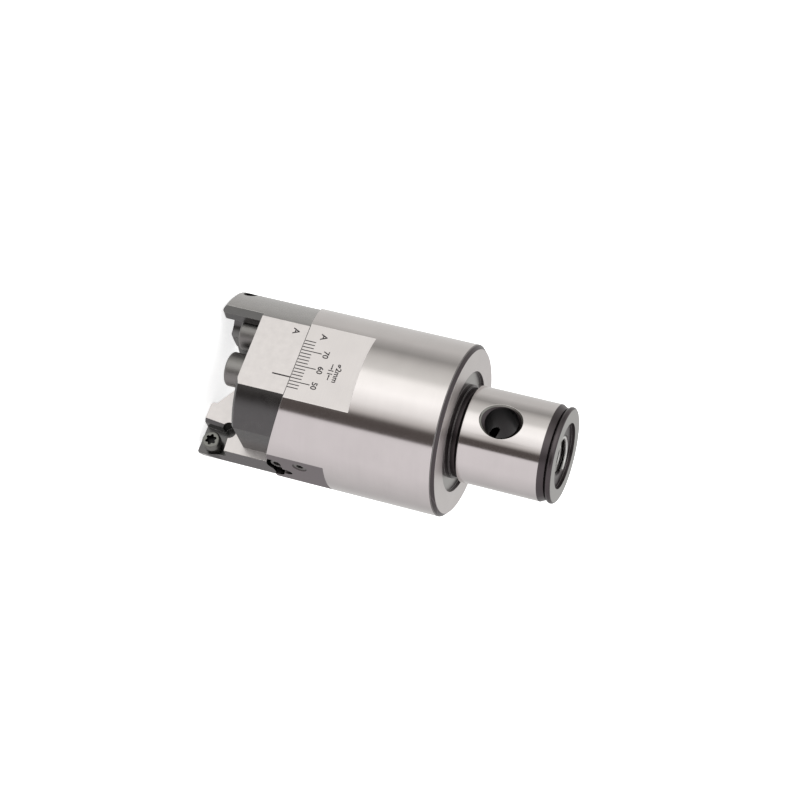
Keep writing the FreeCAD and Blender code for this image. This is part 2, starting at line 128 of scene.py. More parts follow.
class ScaleSizes(bpy.types.PropertyGroup):
    """The diameter scale on each flat."""

    ticks: IntProperty(name="Ticks", description="Number of lines on a scale", default=16, min=2)
    long_every: IntProperty(name="Long every", description="Every how many ticks one is long", default=5)
    first_long: IntProperty(name="First long", description="Which tick is the first long one", default=2)
    first_value: IntProperty(name="First value", description="Diameter at the first long tick", default=50)
    spacing: length("Spacing", "Cartridge travel between two lines, half a division of diameter", 1.0)
    first_tick: length("First tick", "Place of the smallest diameter's line along the slide", 8.5)
    short_tick: length("Short tick", "Length of a plain line", 3.3)
    long_tick: length("Long tick", "Length of a numbered line", 6.1)
    line_width: length("Line width", "Width of a scale line", 0.28)
    index_width: length("Index width", "Width of the index line", 0.42)
    mark_height: length("Mark height", "How far the marking stands over the steel", 0.012)
    numeral_size: length("Numeral size", "Height of the numbers", 1.65)
    letter_weight: length("Letter weight", "How far the letters' strokes are thickened", 0.05)
    numeral_row: length("Numeral row", "Height of the numbers' middle over the seam", 7.3)
    letter_size: length("Letter size", "Height of the side letters", 1.95)
    letter_place: length("Letter place", "Place of the side letters along the slide", -8.6)
    index_place: length("Index place", "Place of the index line along the slide at rest", 5.5)
    index_length: length("Index length", "Length of the index line", 5.5)
    seam_gap: length("Seam gap", "Between the cartridges' rear edge and the body's front edge", 0.15)
    body_letter_row: length("Body letter row", "Height of the body's letter over its edge", 4.9)
    cartridge_letter_row: length("Cartridge letter row", "Height of a cartridge's letter", -3.6)


class DivisionSizes(bpy.types.PropertyGroup):
    """The mark that says what one division is worth."""

    place: length("Place", "Place of the mark along the slide", 1.3)
    row: length("Row", "Height of the mark over the body's edge", 10.4)
    bar: length("Bar", "Length of its two lines", 1.6)
    arrow: length("Arrow", "Length of an arrow's head", 0.7)
    arrow_side: length("Arrow side", "Half the width of an arrow's head", 0.3)
    shaft: length("Shaft", "Length of an arrow's shaft", 1.2)
    value_size: length("Value size", "Height of the letters", 1.6)
    value_row: length("Value row", "Height of the letters over the arrows", 2.0)


class ThreadSizes(bpy.types.PropertyGroup):
    """Screw threads that stand on the plain cylinders."""

    draw_pitch: length("Draw thread pitch", "Pitch of the thread in the spigot's end", 1.75)
    draw_depth: length("Draw thread depth", "How far its ridge stands into the hole", 0.55)


class FinishColours(bpy.types.PropertyGroup):
    """Base colours of the finishes."""

    ground: colour("Ground steel", "Ground alloy steel", "DBD6D5")
    turned: colour("Turned steel", "Turned, thinly oxidised faces", "A8A6A4")
    black: colour("Black oxide", "Blackened steel of the body", "5A5456")
    cartridge: colour("Cartridge", "Blackened steel of the cartridges", "646363")
    lapped: colour("Cartridge outside", "Thinner oxide on the cartridges' outside", "BDBBBA")
    outer_flat: colour("Outer flats", "Oxide on the cartridges' outer flats", "6E6A6B")
    side: colour("Adjusting sides", "Thin oxide on the adjusting sides", "857D80")
    # Painted shade: the bores are painted much darker than the black oxide elsewhere.
    bore: colour("Bores", "Oily oxide inside the bores", "262223")
    hole_edge: colour("Hole edge", "Chamfer round the cross hole", "969690")
    # Painted shade: the star recess is painted much darker than the screw.
    recess: colour("Star recess", "Inside of the insert screws' recess", "2A2A2A")
    screw: colour("Cap screws", "Blackened alloy screws", "8C8A88")
    star: colour("Insert screws", "Phosphated insert screws", "80807C")
    mark: colour("Marking", "Laser marking", "353133")


class StudioSettings(bpy.types.PropertyGroup):
    """Light levels and the camera."""

    lens: FloatProperty(name="Lens", description="Focal length", default=92.41, subtype="DISTANCE_CAMERA")
    background: FloatProperty(name="Background", description="Level of the white background", default=1.0)
    fill: FloatProperty(name="Fill", description="Level of the even light all round", default=0.62)
    reflections: FloatProperty(name="Reflections", description="Level of what the metal mirrors",
                               default=1.0)
    ceiling: FloatProperty(name="Ceiling", description="Level of what it mirrors overhead", default=0.8)
    floor_reach: length("Floor reach", "From the middle of the floor to its edge", 6000.0)
    floor_colour: colour("Floor", "Colour of the floor", "F6F6F6")
    floor_lift: FloatProperty(name="Floor lift", description="Light that the floor adds when seen",
                              default=0.8)


# Nodes --------------------------------------------------------------------------------------------


def add(tree, kind, inputs=(), output=0, **settings):
    """Adds a node with its settings, gives its inputs values or links, and returns one output."""
    node = tree.nodes.new(kind)
    for name, value in settings.items():
        setattr(node, name, value)
    for place, value in (inputs if isinstance(inputs, dict) else dict(enumerate(inputs))).items():
        if isinstance(value, bpy.types.NodeSocket):
            tree.links.new(value, node.inputs[place])
        else:
            node.inputs[place].default_value = value
    return node.outputs[output] if node.outputs else node


class Surface:
    """A new metal material and the places its patterns are made from, all in millimetres."""

    def __init__(self, name):
        self.material = bpy.data.materials.new(name)
        self.material.use_nodes = True
        self.tree = tree = self.material.node_tree
        self.shader = tree.nodes["Principled BSDF"]
        metres = add(tree, "ShaderNodeTexCoord", output="Object")
        self.place = add(tree, "ShaderNodeVectorMath", {0: metres, "Scale": 1 / MM}, operation="SCALE")
        flat = add(tree, "ShaderNodeVectorMath", (self.place, (1, 1, 0)), operation="MULTIPLY")
        self.radius = add(tree, "ShaderNodeVectorMath", (flat,), "Value", operation="LENGTH")
        across = add(tree, "ShaderNodeSeparateXYZ", (self.place,), "X")
        along = add(tree, "ShaderNodeSeparateXYZ", (self.place,), "Y")
        self.wide = add(tree, "ShaderNodeMath", (across,), operation="ABSOLUTE")
        self.side = add(tree, "ShaderNodeMath", (along,), operation="ABSOLUTE")
        self.height = add(tree, "ShaderNodeSeparateXYZ", (self.place,), "Z")
        # Positive on the half of each cartridge that carries its nose.
        self.nose_half = add(tree, "ShaderNodeMath", (across, along), operation="MULTIPLY")

    def zone(self, *tests):
        """1 where every test holds. A test is a value, how it compares, its limit and its margin."""
        whole = 1.0
        for value, operation, limit, margin in tests:
            mask = add(self.tree, "ShaderNodeMath", (value, limit, margin), operation=operation)
            whole = add(self.tree, "ShaderNodeMath", (whole, mask), operation="MULTIPLY")
        return whole

    def together(self, *zones):
        """1 in any of the zones."""
        whole = zones[0]
        for mask in zones[1:]:
            whole = add(self.tree, "ShaderNodeMath", (whole, mask), operation="MAXIMUM")
        return whole

    def grain(self, spacing, detail=2.0):
        """Noise whose features are spacing millimetres long on x, y and z."""
        scaled = add(self.tree, "ShaderNodeVectorMath", (self.place, spacing), operation="DIVIDE")
        return add(self.tree, "ShaderNodeTexNoise", {"Vector": scaled, "Scale": 1.0, "Detail": detail})

    def edges(self, radius):
        """1 along edges, 0 on open faces, from how far a rounded normal leans off the true one."""
        tree = self.tree
        rounded = add(tree, "ShaderNodeBevel", {"Radius": radius * MM}, samples=6)
        true = add(tree, "ShaderNodeNewGeometry", output="Normal")
        lean = add(tree, "ShaderNodeVectorMath", (rounded, true), "Value", operation="DOT_PRODUCT")
        return add(tree, "ShaderNodeMapRange", (lean, 0.995, 0.93, 0.0, 1.0)), rounded

    def finish(self, colour, tone, roughness, height, strength, normal):
        """Joins the colour, its tone, the roughness and the relief to the shader."""
        tree = self.tree
        shade = add(tree, "ShaderNodeVectorMath", {0: colour, "Scale": tone}, operation="SCALE")
        bump = add(tree, "ShaderNodeBump", {"Strength": strength, "Distance": 0.01 * MM, "Height": height,
                                            "Normal": normal})
        tree.links.new(shade, self.shader.inputs["Base Color"])
        tree.links.new(roughness, self.shader.inputs["Roughness"])
        tree.links.new(bump, self.shader.inputs["Normal"])
        self.shader.inputs["Metallic"].default_value = 1.0
        return self.material


# Finishes -----------------------------------------------------------------------------------------


def ground_alloy_steel(scene):
    """Alloy steel, blackened all over and then ground bright on the faces that fit and show."""
    body, colours = scene.boring_body, scene.boring_colours
    steel = Surface("ground_alloy_steel")
    tree, radius, height = steel.tree, steel.radius, steel.height
    margin = FACE_MARGIN
    outside = steel.zone((radius, "COMPARE", body.radius / MM, margin),
                         (height, "LESS_THAN", body.chamfer_end / MM, 0))
    spigot = steel.zone((radius, "COMPARE", body.spigot_radius / MM, margin),
                        (height, "GREATER_THAN", body.neck_end / MM, 0),
                        (height, "LESS_THAN", body.lead_height / MM, 0))
    flats = steel.zone((steel.side, "COMPARE", body.scale_flat / MM, margin),
                       (height, "LESS_THAN", body.scale_flat_end / MM + 0.1, 0))
    gauge_face = steel.zone((height, "COMPARE", 0.0, margin),
                            (radius, "GREATER_THAN", body.recess_radius / MM - 0.02, 0))
    cylinders = steel.together(outside, spigot)
    ground = steel.together(cylinders, flats, gauge_face)
    end_face = steel.zone((height, "COMPARE", cad_box[1].z / MM, margin))
    recess_floor = steel.zone((height, "COMPARE", body.recess_floor / MM, margin))
    run_out = steel.zone((height, "COMPARE", body.scale_flat_end / MM, margin),
                         (radius, "LESS_THAN", body.radius / MM - 0.01, 0))
    turned = steel.together(end_face, recess_floor, run_out)
    adjusting_sides = steel.zone((steel.wide, "COMPARE", body.side_flat / MM, margin))

    # Grinding leaves fine rings on the cylinders, 0.15 mm apart so that they show.
    rings = steel.grain((14.0, 14.0, 0.15))
    # The flats are ground across, in straight lines 0.12 mm apart.
    strokes = steel.grain((9.0, 9.0, 0.12))
    # Slow drifts in the stock's tone, about 8 mm long.
    cloud = steel.grain((8.0, 8.0, 8.0), detail=3.0)
    edge, rounded = steel.edges(0.16)

    drift = add(tree, "ShaderNodeMapRange", {0: cloud, 3: 0.93, 4: 1.05})
    lines = add(tree, "ShaderNodeMapRange", {0: rings, 3: 0.97, 4: 1.03})
    tone = add(tree, "ShaderNodeMath", (drift, lines), operation="MULTIPLY")
    # Edges are painted lighter, partly as wear and partly as a painted highlight along them.
    wear_and_highlight = add(tree, "ShaderNodeMath", (edge, 0.6), operation="MULTIPLY")
    # Inside the bores the black oxide is darkened further as painted shade.
    bores = steel.zone((radius, "LESS_THAN", body.bore_radius / MM, 0),
                       (height, "GREATER_THAN", body.bore_start / MM, 0),
                       (height, "LESS_THAN", body.bore_end / MM, 0))
    beside_hole = mount("cross_hole")["pos_m"][2] / MM
    chamfer_middle = (body.spigot_radius - body.hole_edge_depth) / MM
    hole_edge = steel.zone((radius, "COMPARE", chamfer_middle, body.hole_edge_margin / MM),
                           (height, "COMPARE", beside_hole, body.hole_edge_reach / MM))
    sides = add(tree, "ShaderNodeMix", {0: adjusting_sides, 6: colours.black, 7: colours.side}, 2,
                data_type="RGBA")
    edged = add(tree, "ShaderNodeMix", {0: hole_edge, 6: sides, 7: colours.hole_edge}, 2, data_type="RGBA")
    black = add(tree, "ShaderNodeMix", {0: bores, 6: edged, 7: colours.bore}, 2, data_type="RGBA")
    dark = add(tree, "ShaderNodeMix", {0: turned, 6: black, 7: colours.turned}, 2, data_type="RGBA")
    worn_and_highlit = add(tree, "ShaderNodeMix", {0: wear_and_highlight, 6: dark, 7: colours.turned}, 2, data_type="RGBA")
    base = add(tree, "ShaderNodeMix", {0: ground, 6: worn_and_highlit, 7: colours.ground}, 2, data_type="RGBA")
    fine = add(tree, "ShaderNodeMapRange", {0: rings, 3: 0.10, 4: 0.14})
    coarse = add(tree, "ShaderNodeMapRange", {0: cloud, 3: 0.26, 4: 0.34})
    flat_rough = add(tree, "ShaderNodeMapRange", {0: strokes, 3: 0.36, 4: 0.44})
    shine = add(tree, "ShaderNodeMapRange", {0: cylinders, 3: flat_rough, 4: fine})
    roughness = add(tree, "ShaderNodeMapRange", {0: ground, 3: coarse, 4: shine})
    return steel.finish(base, tone, roughness, rings, 0.1, rounded)


def black_oxide_steel(scene):
    """Hardened steel with a hot black oxide finish, ground bright on the scale flat and inner face."""
    body, colours = scene.boring_body, scene.boring_colours
    steel = Surface("black_oxide_steel")
    tree = steel.tree
    scale_flat = steel.zone((steel.side, "COMPARE", body.scale_flat / MM, FLAT_MARGIN),
                            (steel.height, "GREATER_THAN", body.cartridge_front / MM, 0))
    inner_face = steel.zone((steel.side, "LESS_THAN", CARTRIDGE_MARGIN, 0))
    ground = steel.together(scale_flat, inner_face)
    # The turned outside is lapped after blackening, which leaves a thinner, lighter oxide.
    outside = steel.zone((steel.radius, "COMPARE", body.cartridge_radius / MM, CARTRIDGE_MARGIN),
                         (steel.nose_half, "GREATER_THAN", 0.0, 0))
    outer_flat = steel.zone((steel.wide, "COMPARE", body.outer_flat / MM, CARTRIDGE_MARGIN))
    # Milling marks under the oxide, about 0.3 mm apart, and a mottled oxide 2 mm across.
    marks = steel.grain((0.3, 5.0, 5.0))
    mottle = steel.grain((2.0, 2.0, 2.0), detail=4.0)
    edge, rounded = steel.edges(0.14)
    # Edges are painted lighter, partly as wear and partly as a painted highlight along them.
    wear_and_highlight = add(tree, "ShaderNodeMath", (edge, 0.55), operation="MULTIPLY")
    thin = add(tree, "ShaderNodeMix", {0: outer_flat, 6: colours.cartridge, 7: colours.outer_flat}, 2,
               data_type="RGBA")
    oxide = add(tree, "ShaderNodeMix", {0: outside, 6: thin, 7: colours.lapped}, 2, data_type="RGBA")
    dark = add(tree, "ShaderNodeMix", {0: wear_and_highlight, 6: oxide, 7: colours.turned}, 2, data_type="RGBA")
    base = add(tree, "ShaderNodeMix", {0: ground, 6: dark, 7: colours.ground}, 2, data_type="RGBA")
    tone = add(tree, "ShaderNodeMapRange", {0: mottle, 3: 0.9, 4: 1.1})
    soft = add(tree, "ShaderNodeMapRange", {0: mottle, 3: 0.22, 4: 0.30})
    lapped = add(tree, "ShaderNodeMapRange", {0: marks, 3: 0.36, 4: 0.44})
    roughness = add(tree, "ShaderNodeMapRange", {0: ground, 3: soft, 4: lapped})
    return steel.finish(base, tone, roughness, marks, 0.1, rounded)


def screw_steel(scene):
    """Alloy cap screws and washers with an oiled black oxide, darker and softer, mottled every 0.8 mm."""
    steel = Surface("black_screw_steel")
    tree, colours = steel.tree, scene.boring_colours
    mottle = steel.grain((0.8, 0.8, 0.8), detail=4.0)
    edge, rounded = steel.edges(0.12)
    # Edges are painted lighter, partly as wear and partly as a painted highlight along them.
    wear_and_highlight = add(tree, "ShaderNodeMath", (edge, 0.5), operation="MULTIPLY")
    base = add(tree, "ShaderNodeMix", {0: wear_and_highlight, 6: colours.screw, 7: colours.turned}, 2, data_type="RGBA")
    tone = add(tree, "ShaderNodeMapRange", {0: mottle, 3: 0.88, 4: 1.1})
    roughness = add(tree, "ShaderNodeMapRange", {0: mottle, 3: 0.34, 4: 0.46})
    return steel.finish(base, tone, roughness, mottle, 0.08, rounded)


def phosphated_steel(scene):
    """Star-drive insert screws, phosphated to a grey-green satin whose crystals are 0.12 mm across."""
    steel = Surface("star_screw_steel")
    tree, colours = steel.tree, scene.boring_colours
    crystal = steel.grain((0.12, 0.12, 0.12), detail=3.0)
    edge, rounded = steel.edges(0.08)
    # Edges are painted lighter, partly as wear and partly as a painted highlight along them.
    wear_and_highlight = add(tree, "ShaderNodeMath", (edge, 0.4), operation="MULTIPLY")
    low, high = (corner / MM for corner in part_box("insert_screw_b"))
    across = add(tree, "ShaderNodeMath", (steel.wide, (low.x + high.x) / 2), operation="SUBTRACT")
    up = add(tree, "ShaderNodeMath", (steel.height, (low.z + high.z) / 2), operation="SUBTRACT")
    offset = add(tree, "ShaderNodeCombineXYZ", (across, up))
    from_axis = add(tree, "ShaderNodeVectorMath", (offset,), "Value", operation="LENGTH")
    # The star recess is painted darker than the screw outside, as painted shade.
    recess = steel.zone((from_axis, "LESS_THAN", scene.boring_body.star_radius / MM, 0),
                        (steel.side, "GREATER_THAN", low.y + 2 * FACE_MARGIN, 0))
    outer = add(tree, "ShaderNodeMix", {0: wear_and_highlight, 6: colours.star, 7: colours.turned}, 2, data_type="RGBA")
    base = add(tree, "ShaderNodeMix", {0: recess, 6: outer, 7: colours.recess}, 2, data_type="RGBA")
    tone = add(tree, "ShaderNodeMapRange", {0: crystal, 3: 0.85, 4: 1.1})
    roughness = add(tree, "ShaderNodeMapRange", {0: crystal, 3: 0.3, 4: 0.42})
    return steel.finish(base, tone, roughness, crystal, 0.2, rounded)


def laser_marking(scene):
    """Laser-annealed marking: a dull brown-black oxide film, with a grain of 0.05 mm."""
    mark = Surface("laser_marking")
    tree = mark.tree
    speckle = mark.grain((0.05, 0.05, 0.05))
    tone = add(tree, "ShaderNodeMapRange", {0: speckle, 3: 0.75, 4: 1.2})
    roughness = add(tree, "ShaderNodeMapRange", {0: speckle, 3: 0.5, 4: 0.65})
    colour = add(tree, "ShaderNodeRGB")
    colour.default_value = scene.boring_colours.mark
    normal = add(tree, "ShaderNodeNewGeometry", output="Normal")
    material = mark.finish(colour, tone, roughness, speckle, 0.1, normal)
    mark.shader.inputs["Metallic"].default_value = 0.4
    return material


# Meshes -------------------------------------------------------------------------------------------


def new_piece(name, mesh, material=None):
    """Links a mesh to the scene as a piece at the origin."""
    piece = bpy.data.objects.new(name, mesh)
    bpy.context.scene.collection.objects.link(piece)
    if material:
        piece.data.materials.append(material)
    return piece


def grown(name, tree, values, turn=None):
    """Runs a geometry tree on an empty mesh and keeps its result as a plain mesh."""
    holder = new_piece(name + "_tree", bpy.data.meshes.new(name))
    modifier = holder.modifiers.new("Build", "NODES")
    modifier.node_group = tree
    for item in tree.interface.items_tree:
        if item.in_out == "INPUT" and item.name in values:
            modifier[item.identifier] = values[item.name]
    evaluated = holder.evaluated_get(bpy.context.evaluated_depsgraph_get())
    mesh = bpy.data.meshes.new_from_object(evaluated)
    mesh.name = name
    bpy.data.objects.remove(holder)
    if turn:
        mesh.transform(turn)
    return new_piece(name, mesh)


def new_tree(name, inputs):
    """A geometry tree with named number inputs, and its input and output nodes."""
    tree = bpy.data.node_groups.new(name, "GeometryNodeTree")
    tree.is_modifier = True
    for label, kind in inputs:
        tree.interface.new_socket(label, in_out="INPUT", socket_type=kind)
    tree.interface.new_socket("Geometry", in_out="OUTPUT", socket_type="NodeSocketGeometry")
    given = tree.nodes.new("NodeGroupInput").outputs
    return tree, given


def close_tree(tree, geometry, material):
    """Ends a tree in Realize Instances and Set Material."""
    real = add(tree, "GeometryNodeRealizeInstances", (geometry,))
    painted = add(tree, "GeometryNodeSetMaterial", {"Geometry": real, "Material": material})
    add(tree, "NodeGroupOutput", (painted,))


def ticks_tree(material):
    """A row of lines along x, every few of them longer, standing on z = 0."""
    number, whole = "NodeSocketFloat", "NodeSocketInt"
    tree, given = new_tree("Scale ticks", (
        ("Ticks", whole), ("Long every", whole), ("First long", whole), ("Spacing", number),
        ("First tick", number), ("Short tick", number), ("Long tick", number), ("Line width", number),
        ("Mark height", number)))
    start = add(tree, "ShaderNodeCombineXYZ", (given["First tick"],))
    back = add(tree, "ShaderNodeMath", (given["Spacing"], -1.0), operation="MULTIPLY")
    step = add(tree, "ShaderNodeCombineXYZ", (back,))
    row = add(tree, "GeometryNodeMeshLine", {"Count": given["Ticks"], "Start Location": start,
                                             "Offset": step})
    index = add(tree, "GeometryNodeInputIndex")
    past = add(tree, "ShaderNodeMath", (index, given["First long"]), operation="SUBTRACT")
    shifted = add(tree, "ShaderNodeMath", (past, given["Long every"]), operation="ADD")
    rest = add(tree, "ShaderNodeMath", (shifted, given["Long every"]), operation="MODULO")
    is_long = add(tree, "ShaderNodeMath", (rest, 0.0, 0.5), operation="COMPARE")
    extra = add(tree, "ShaderNodeMath", (given["Long tick"], given["Short tick"]), operation="SUBTRACT")
    tall = add(tree, "ShaderNodeMath", (is_long, extra, given["Short tick"]), operation="MULTIPLY_ADD")
    line = add(tree, "GeometryNodeMeshCube", {"Size": (1, 1, 1)})
    raised = add(tree, "GeometryNodeTransform", {"Geometry": line, "Translation": (0, 0, 0.5)})
    size = add(tree, "ShaderNodeCombineXYZ", (given["Line width"], given["Mark height"], tall))
    lines = add(tree, "GeometryNodeInstanceOnPoints", {"Points": row, "Instance": raised, "Scale": size})
    close_tree(tree, lines, material)
    return tree


def thread_tree(material):
    """A screw thread's ridge: a helix up the z axis with a four-sided section."""
    number = "NodeSocketFloat"
    tree, given = new_tree("Thread ridge", (
        ("Radius", number), ("Length", number), ("Pitch", number), ("Ridge", number)))
    turns = add(tree, "ShaderNodeMath", (given["Length"], given["Pitch"]), operation="DIVIDE")
    helix = add(tree, "GeometryNodeCurveSpiral", {
        "Resolution": 48, "Rotations": turns, "Start Radius": given["Radius"],
        "End Radius": given["Radius"], "Height": given["Length"]})
    section = add(tree, "GeometryNodeCurvePrimitiveCircle", {"Resolution": 4, "Radius": given["Ridge"]})
    ridge = add(tree, "GeometryNodeCurveToMesh", {"Curve": helix, "Profile Curve": section,
                                                  "Fill Caps": True})
    close_tree(tree, ridge, material)
    return tree


def on_flat(half, place, height, distance):
    """Stands an x-z drawing on a half's scale flat, moved by place along the slide and height up."""
    out = Matrix.Translation((place, -distance, height))
    return Matrix.Rotation(HALVES[half], 4, "Z") @ out


def lettering(name, text, size, sizes, material):
    """A word as a thin raised mesh, standing in the x-z plane, facing -y, centred on the origin."""
    curve = bpy.data.curves.new(name, "FONT")
    curve.body = text
    curve.size = size / 0.7
    curve.extrude = sizes.mark_height / 2
    curve.offset = sizes.letter_weight
    curve.align_x = "CENTER"
    curve.align_y = "CENTER"
    holder = new_piece(name + "_curve", curve)
    evaluated = holder.evaluated_get(bpy.context.evaluated_depsgraph_get())
    mesh = bpy.data.meshes.new_from_object(evaluated)
    bpy.data.objects.remove(holder)
    mesh.transform(Matrix.Rotation(math.pi / 2, 4, "X"))
    mesh.materials.clear()
    mesh.materials.append(material)
    return mesh


def joined(name, meshes, material):
    """Several meshes as one."""
    points, faces = [], []
    for mesh in meshes:
        start = len(points)
        points += [vertex.co.copy() for vertex in mesh.vertices]
        faces += [[start + i for i in polygon.vertices] for polygon in mesh.polygons]
    whole = bpy.data.meshes.new(name)
    whole.from_pydata(points, [], faces)
    whole.materials.append(material)
    return whole


def block(size, centre):
    """A thin closed block, for a marked line or an arrow's shaft."""
    corners = [Vector((x, y, z)) for z in (-0.5, 0.5) for y in (-0.5, 0.5) for x in (-0.5, 0.5)]
    mesh = bpy.data.meshes.new("block")
    sides = ((0, 2, 3, 1), (4, 5, 7, 6), (0, 1, 5, 4), (2, 6, 7, 3), (0, 4, 6, 2), (1, 3, 7, 5))
    mesh.from_pydata([Vector(centre) + corner * Vector(size) for corner in corners], [], sides)
    return mesh


def arrow_head(tip, reach, half_width, thickness):
    """A closed thin triangle in the x-z plane whose tip points along x, away from reach's end."""
    mesh = bpy.data.meshes.new("arrow")
    outline = [(tip, 0.0), (tip + reach, half_width), (tip + reach, -half_width)]
    front = [Vector((x, -thickness / 2, z)) for x, z in outline]
    back = [Vector((x, thickness / 2, z)) for x, z in outline]
    faces = [(0, 2, 1), (3, 4, 5), (0, 1, 4, 3), (1, 2, 5, 4), (2, 0, 3, 5)]
    if reach < 0:
        faces = [face[::-1] for face in faces]
    mesh.from_pydata(front + back, [], faces)
    return mesh


def seam_height():
    """Height of the cartridges' rear edge on the scale flat."""
    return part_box("cartridge_a")[1].z


def body_edge(sizes):
    """Height of the body's front edge on the scale flat."""
    return seam_height() + sizes.seam_gap


# Operators ----------------------------------------------------------------------------------------


class FinishSteel(bpy.types.Operator):
    """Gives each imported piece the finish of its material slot."""

    bl_idname = "boring_head.finish_steel"
    bl_label = "Finish the steel"

    def execute(self, context):
        scene = context.scene
        made = {"ground_alloy_steel": ground_alloy_steel(scene),
                "black_oxide_steel": black_oxide_steel(scene),
                "black_screw_steel": screw_steel(scene),
                "star_screw_steel": phosphated_steel(scene)}
        for part in frame["record"]["subparts"]:
            node = frame["nodes"][part["node"]]
            node.material_slots[0].material = made[part["material_slot"]]
        laser_marking(scene)
        return {"FINISHED"}


class MarkScales(bpy.types.Operator):
    """Marks the diameter scale on the body's two flats."""

    bl_idname = "boring_head.mark_scales"
    bl_label = "Mark the scales"

    def execute(self, context):
        sizes, flat = context.scene.boring_scale, context.scene.boring_body.scale_flat
        tree = ticks_tree(bpy.data.materials["laser_marking"])
        values = {"Ticks": sizes.ticks, "Long every": sizes.long_every, "First long": sizes.first_long,
                  "Spacing": sizes.spacing, "First tick": sizes.first_tick, "Short tick": sizes.short_tick,
                  "Long tick": sizes.long_tick, "Line width": sizes.line_width,
                  "Mark height": sizes.mark_height}
        for half in HALVES:
            ticks = grown(f"scale_ticks_{half}", tree, values, on_flat(half, 0, body_edge(sizes), flat))
            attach(ticks, "head")
        return {"FINISHED"}


class MarkNumerals(bpy.types.Operator):
    """Marks the diameters at the long ticks."""

    bl_idname = "boring_head.mark_numerals"
    bl_label = "Mark the numerals"

    def execute(self, context):
        sizes, flat = context.scene.boring_scale, context.scene.boring_body.scale_flat
        material = bpy.data.materials["laser_marking"]
        for half in HALVES:
            numbers = []
            for count in range(3):
                value = sizes.first_value + 2 * sizes.long_every * count
                mesh = lettering("number", str(value), sizes.numeral_size, sizes, material)
                tick = sizes.first_long + sizes.long_every * count
                mesh.transform(Matrix.Translation((sizes.first_tick - tick * sizes.spacing, 0, 0)))
                numbers.append(mesh)
            whole = joined(f"numerals_{half}", numbers, material)
            whole.transform(on_flat(half, 0, body_edge(sizes) + sizes.numeral_row, flat))
            piece = new_piece(whole.name, whole)
            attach(piece, "head")
        return {"FINISHED"}


class MarkDivision(bpy.types.Operator):
    """Marks what one division is worth: two lines between arrows, and the change of diameter."""

    bl_idname = "boring_head.mark_division"
    bl_label = "Mark the division"

    def execute(self, context):
        sizes, flat = context.scene.boring_scale, context.scene.boring_body.scale_flat
        material = bpy.data.materials["laser_marking"]
        division = context.scene.boring_division
        width, raised, gap = sizes.line_width, sizes.mark_height, 0.5 * sizes.spacing
        arrow, shaft = division.arrow, division.shaft
        for half in HALVES:
            drawn = []
            for way in (-1, 1):
                drawn.append(block((width, raised, division.bar), (way * gap, 0, 0)))
                tip = way * (gap + width / 2)
                drawn.append(arrow_head(tip, way * arrow, division.arrow_side, raised))
                drawn.append(block((shaft, raised, width), (tip + way * (arrow + shaft / 2), 0, 0)))
            value = lettering("value", "ø2mm", division.value_size, sizes, material)
            value.transform(Matrix.Translation((0, 0, division.value_row)))
            whole = joined(f"division_mark_{half}", drawn + [value], material)
            whole.transform(on_flat(half, division.place, body_edge(sizes) + division.row, flat))
            piece = new_piece(whole.name, whole)
            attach(piece, "head")
        return {"FINISHED"}


class MarkSides(bpy.types.Operator):
    """Marks each side's letter on the body and on its cartridge."""

    bl_idname = "boring_head.mark_sides"
    bl_label = "Mark the sides"

    def execute(self, context):
        sizes, flat = context.scene.boring_scale, context.scene.boring_body.scale_flat
        material = bpy.data.materials["laser_marking"]
        for half in HALVES:
            for body, height in (("head", sizes.body_letter_row),
                                 (f"cartridge_{half}", sizes.cartridge_letter_row)):
                mesh = lettering(f"side_letter_{body}_{half}", half.upper(), sizes.letter_size, sizes,
                                 material)
                mesh.transform(on_flat(half, sizes.letter_place, body_edge(sizes) + height, flat))
                piece = new_piece(f"side_letter_{half}_on_{body}", mesh)
                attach(piece, body)
        return {"FINISHED"}


class MarkIndexes(bpy.types.Operator):
    """Marks each cartridge's index line, which reads the scale."""

    bl_idname = "boring_head.mark_indexes"
    bl_label = "Mark the index lines"

    def execute(self, context):
        sizes, flat = context.scene.boring_scale, context.scene.boring_body.scale_flat
        material = bpy.data.materials["laser_marking"]
        for half in HALVES:
            size = (sizes.index_width, sizes.mark_height, sizes.index_length)
            mesh = joined(f"index_line_{half}", [block(size, (0, 0, -sizes.index_length / 2))], material)
            mesh.transform(on_flat(half, sizes.index_place, seam_height(), flat))
            piece = new_piece(mesh.name, mesh)
            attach(piece, f"cartridge_{half}")
        return {"FINISHED"}


class CutDrawThread(bpy.types.Operator):
    """Puts the thread in the spigot's end."""

    bl_idname = "boring_head.cut_draw_thread"
    bl_label = "Cut the draw thread"

    def execute(self, context):
        sizes, hole = context.scene.boring_threads, mount("draw_thread")
        radius, depth = hole["dims"]["r_mm"] * MM, hole["dims"]["length_mm"] * MM
        middle = Vector(hole["pos_m"])
        tree = thread_tree(bpy.data.materials["ground_alloy_steel"])
        start = Matrix.Translation(middle - Vector((0, 0, depth / 2)))
        values = {"Radius": radius, "Length": depth, "Pitch": sizes.draw_pitch, "Ridge": sizes.draw_depth}
        thread = grown("draw_thread", tree, values, start)
        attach(thread, "head")
        return {"FINISHED"}


class SetStudio(bpy.types.Operator):
    """Sets the floor, the lights and the camera."""

    bl_idname = "boring_head.set_studio"
    bl_label = "Set the studio"

    def execute(self, context):
        studio = context.scene.boring_studio
        lay_floor(studio)
        light_world(context.scene, studio)
        hang_lamps()
        place_camera(context.scene, studio)
        context.scene.view_settings.view_transform = "Standard"
        return {"FINISHED"}


# Studio -------------------------------------------------------------------------------------------


